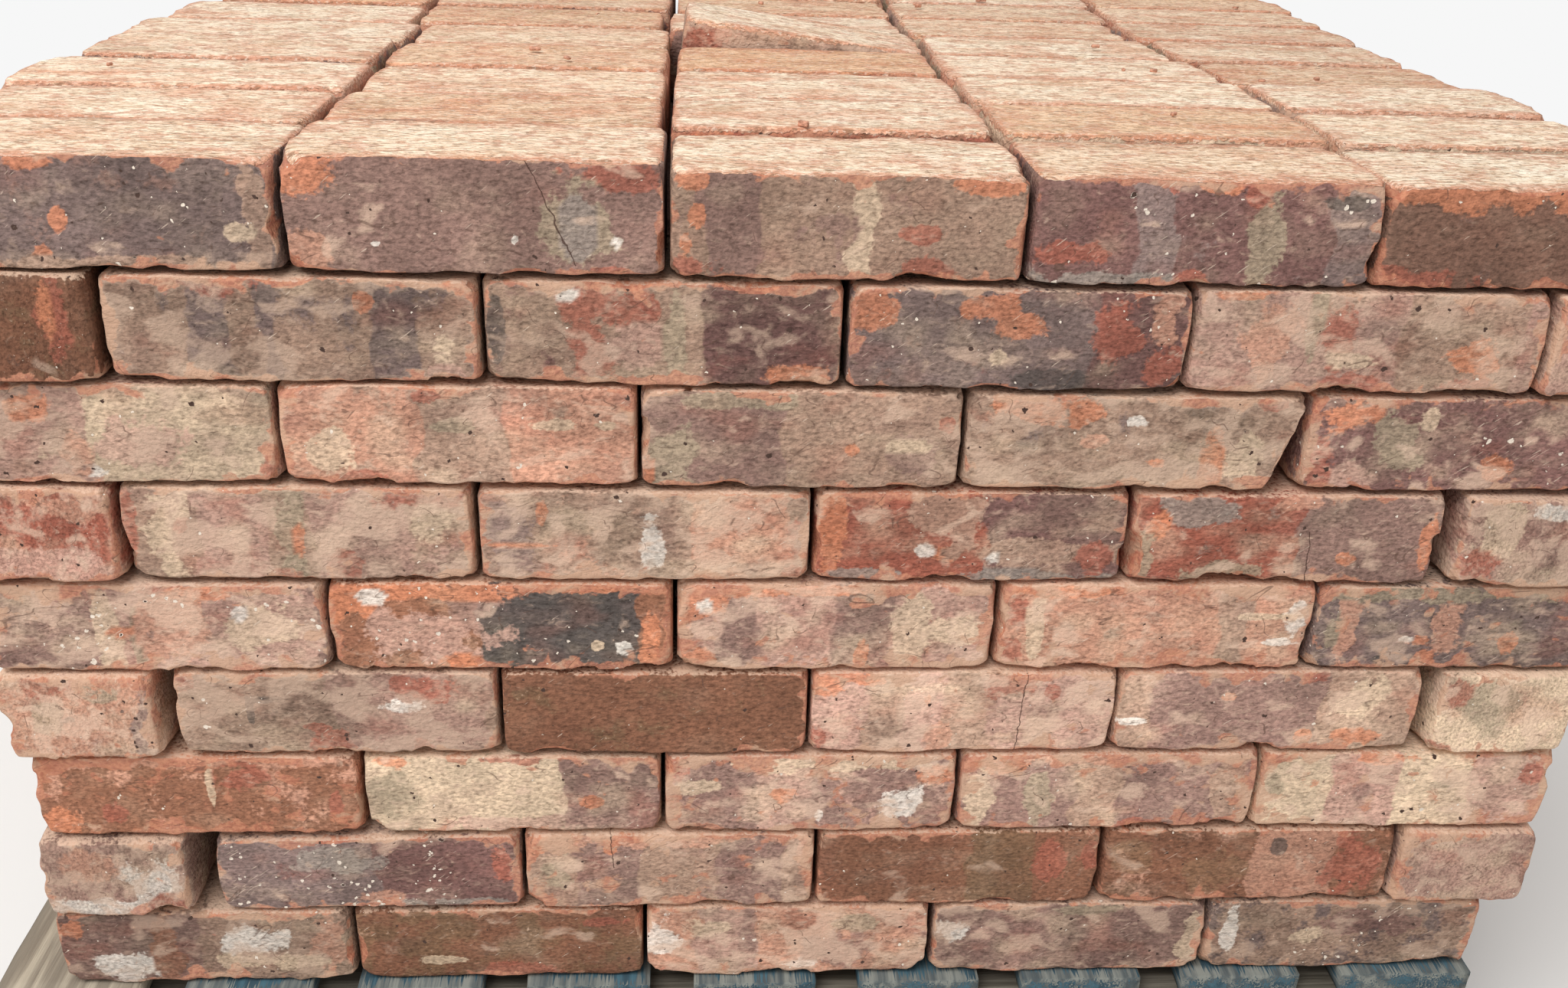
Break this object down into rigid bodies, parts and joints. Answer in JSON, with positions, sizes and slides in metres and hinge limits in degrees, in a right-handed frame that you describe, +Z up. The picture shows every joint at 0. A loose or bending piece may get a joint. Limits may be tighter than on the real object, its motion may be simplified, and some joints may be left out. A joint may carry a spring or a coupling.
{
  "type": "pallet of bricks",
  "caption": "Reclaimed clay bricks laid loose in tied courses on a four-way wooden block pallet with a perimeter base, for moving and storing walling bricks",
  "frame": {"origin": "on the floor under the middle of the pallet, on the underside of the middle base board", "axes": "+X to the right along the pallet's long side, +Y from the front of the stack to its back, +Z up"},
  "size_m": [1.2327, 1.0228, 0.8483],
  "materials": {
    "clay_brick": "matte",
    "painted_wood": "worn paint",
    "bare_wood": "weathered",
    "rough_wood": "weathered"
  },
  "bodies": {
    "root": {"base_board_back": "rough_wood", "base_board_cross_left": "rough_wood", "base_board_cross_middle": "rough_wood", "base_board_cross_right": "rough_wood", "base_board_front": "rough_wood", "block_back_left": "rough_wood", "block_back_middle": "rough_wood", "block_back_right": "rough_wood", "block_front_left": "rough_wood", "block_front_middle": "rough_wood", "block_front_right": "rough_wood", "block_middle_left": "rough_wood", "block_middle_middle": "rough_wood", "block_middle_right": "rough_wood", "chip_under_raised_brick": "clay_brick", "course_1_front_row": "clay_brick", "course_1_inner_bricks": "clay_brick", "course_1_outer_bricks": "clay_brick", "course_2_front_row": "clay_brick", "course_2_inner_bricks": "clay_brick", "course_2_outer_bricks": "clay_brick", "course_3_front_row": "clay_brick", "course_3_inner_bricks": "clay_brick", "course_3_outer_bricks": "clay_brick", "course_4_front_row": "clay_brick", "course_4_inner_bricks": "clay_brick", "course_4_outer_bricks": "clay_brick", "course_5_front_row": "clay_brick", "course_5_inner_bricks": "clay_brick", "course_5_outer_bricks": "clay_brick", "course_6_front_row": "clay_brick", "course_6_inner_bricks": "clay_brick", "course_6_outer_bricks": "clay_brick", "course_7_front_row": "clay_brick", "course_7_inner_bricks": "clay_brick", "course_7_outer_bricks": "clay_brick", "course_8_front_row": "clay_brick", "course_8_inner_bricks": "clay_brick", "course_8_outer_bricks": "clay_brick", "course_9_front_row": "clay_brick", "course_9_inner_bricks": "clay_brick", "course_9_outer_bricks": "clay_brick", "deck_board_1": "bare_wood", "deck_board_2": "painted_wood", "deck_board_3": "painted_wood", "deck_board_4": "painted_wood", "deck_board_5": "painted_wood", "deck_board_6": "painted_wood", "deck_board_7": "painted_wood", "deck_board_8": "painted_wood", "deck_board_9": "painted_wood", "raised_brick": "clay_brick", "stringer_board_back": "rough_wood", "stringer_board_front": "rough_wood", "stringer_board_middle": "rough_wood"}
  },
  "joints": []
}
